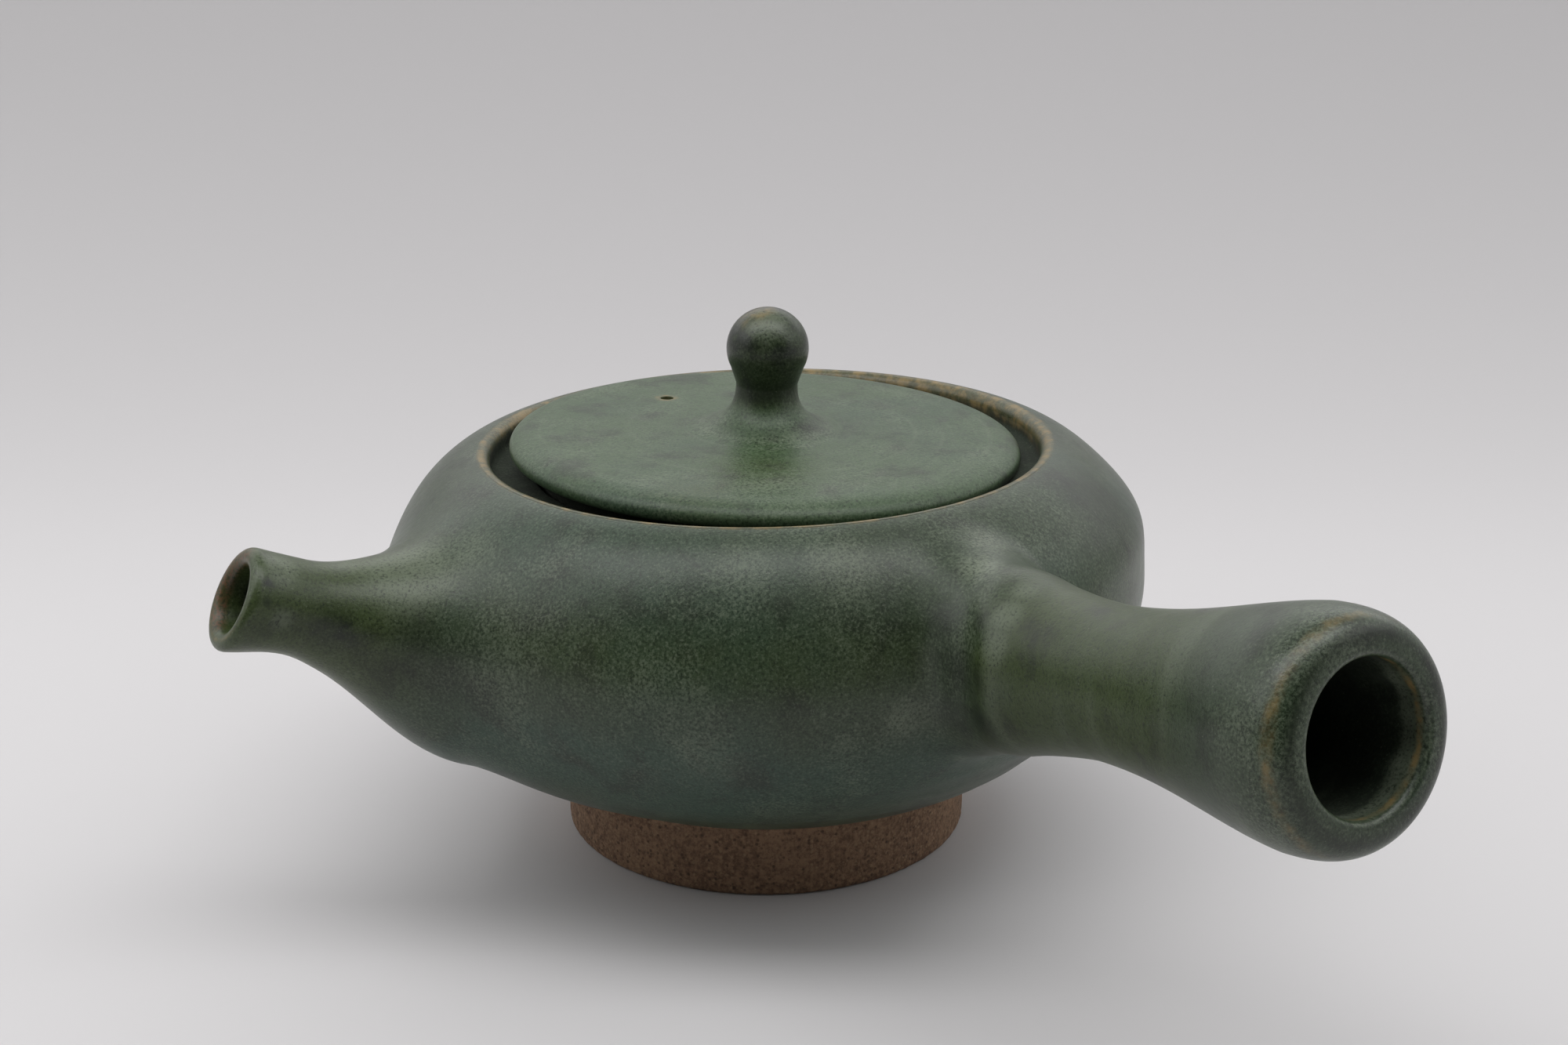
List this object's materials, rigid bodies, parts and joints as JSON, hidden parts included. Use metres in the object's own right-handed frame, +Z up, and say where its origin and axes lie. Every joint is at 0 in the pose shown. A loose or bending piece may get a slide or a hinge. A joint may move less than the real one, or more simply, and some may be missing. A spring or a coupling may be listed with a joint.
{
  "type": "side-handled teapot",
  "caption": "Low round stoneware kyusu in cloudy green glaze with a hollow side handle, a short spout and a sunk lid.",
  "frame": {"origin": "centre of the foot ring's resting face", "axes": "+Z up the turning axis of the body; the spout points along -X and the handle along -Y"},
  "size_m": [0.1517, 0.1928, 0.0851],
  "materials": {
    "green_glaze": "satin",
    "lid_glaze": "satin",
    "inner_glaze": "satin",
    "foot_clay": "matte",
    "bare_clay": "matte"
  },
  "bodies": {
    "pot": {"pot_body": "green_glaze", "foot_ring": "foot_clay", "spout": "green_glaze", "strainer_dome": "inner_glaze", "handle": "green_glaze"},
    "lid_ring": {"lid_ring": "bare_clay"},
    "lid": {"lid_plate": "lid_glaze", "lid_knob": "lid_glaze"}
  },
  "joints": [
    {"name": "lid_lift", "type": "slide", "parent": "pot", "child": "lid_ring", "axis": [0, 0, 1], "range_m": [0, 0.07]},
    {"name": "lid_turn", "type": "hinge", "parent": "lid_ring", "child": "lid", "pos_m": [0, 0, 0.0602], "axis": [0, 0, 1], "continuous": true}
  ]
}
